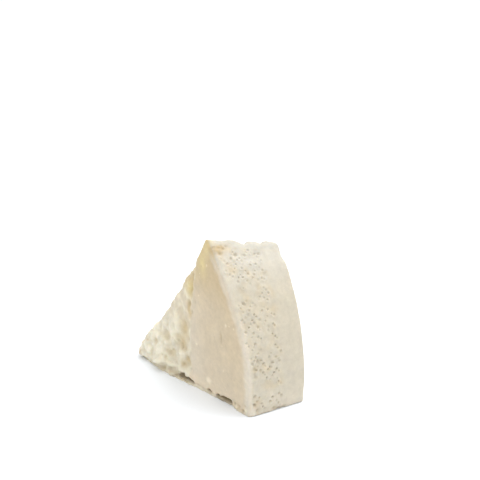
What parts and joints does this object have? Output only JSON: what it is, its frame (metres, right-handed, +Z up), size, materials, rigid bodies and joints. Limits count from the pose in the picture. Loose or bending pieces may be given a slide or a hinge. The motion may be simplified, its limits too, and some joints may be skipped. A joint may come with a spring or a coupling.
{
  "type": "aged hard cheese wedge",
  "caption": "Wedge of pale, aged hard cheese: a sector of a wheel standing on one cut face, with a curved rind, smooth cuts and a crumbled tip.",
  "frame": {"origin": "centre of the bounding box's bottom face, on the surface that the wedge stands on", "axes": "+X from the tip towards the rind, Y along the axis of the wheel that the wedge was cut from with the shown cut face towards -Y, +Z up"},
  "size_m": [0.1456, 0.0542, 0.1139],
  "materials": {
    "cheese": "dry, slightly waxy aged cheese, pale ivory, with a fine grain"
  },
  "bodies": {
    "root": {"cheese_wedge": "cheese"}
  },
  "joints": []
}
